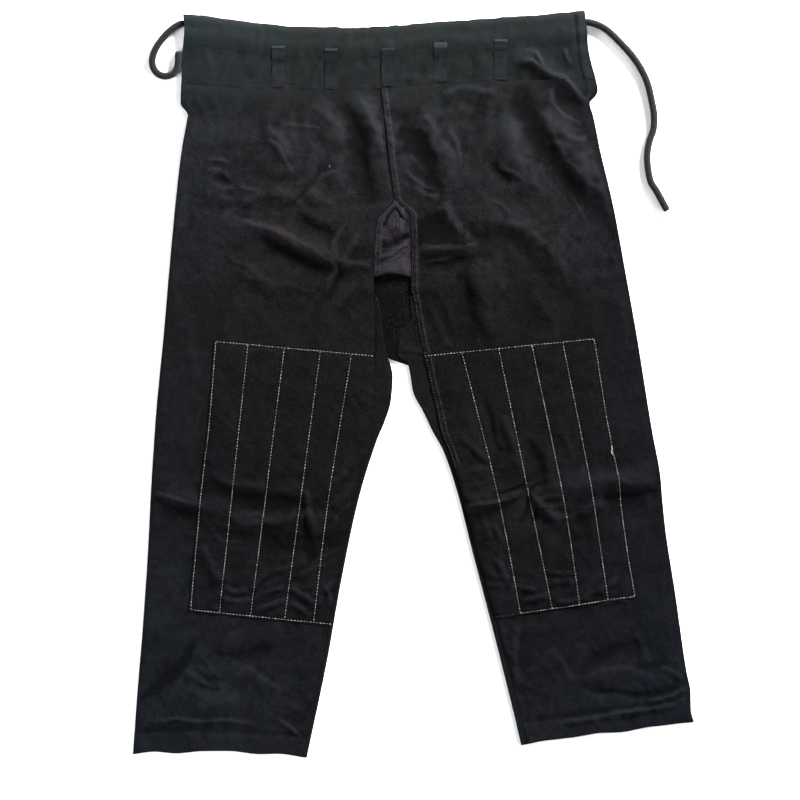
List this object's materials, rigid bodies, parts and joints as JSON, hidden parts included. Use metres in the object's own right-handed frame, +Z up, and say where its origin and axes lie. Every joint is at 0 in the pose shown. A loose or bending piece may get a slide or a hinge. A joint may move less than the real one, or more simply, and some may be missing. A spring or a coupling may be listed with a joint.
{
  "type": "martial arts trousers",
  "caption": "Flat-laid martial arts trousers, front up, with quilted knee patches, crotch gusset, waistband, belt loops, side vents and a drawstring.",
  "frame": {"origin": "centre of the garment's plan on the surface it lies on, without the drawstring's free ends", "axes": "+Z up from the surface, +Y from the hems to the waist, -X towards the wearer's right leg"},
  "size_m": [0.7288, 0.9693, 0.0138],
  "materials": {
    "drill": "matt black cotton drill, slightly faded",
    "patch": "matt black cotton drill with rows of white stitching",
    "band": "matt black cotton drill, double",
    "cord": "soft black braided cotton cord"
  },
  "bodies": {
    "root": {"front_right": "drill", "front_left": "drill", "back_right": "drill", "back_left": "drill", "gusset": "drill", "knee_patch_right": "patch", "knee_patch_left": "patch", "waistband_front": "band", "waistband_back": "band", "belt_loop_far_right": "band", "belt_loop_mid_right": "band", "belt_loop_centre": "band", "belt_loop_mid_left": "band", "belt_loop_far_left": "band", "drawstring_left": "cord", "drawstring_right": "cord", "drawstring_run": "cord"}
  },
  "joints": []
}
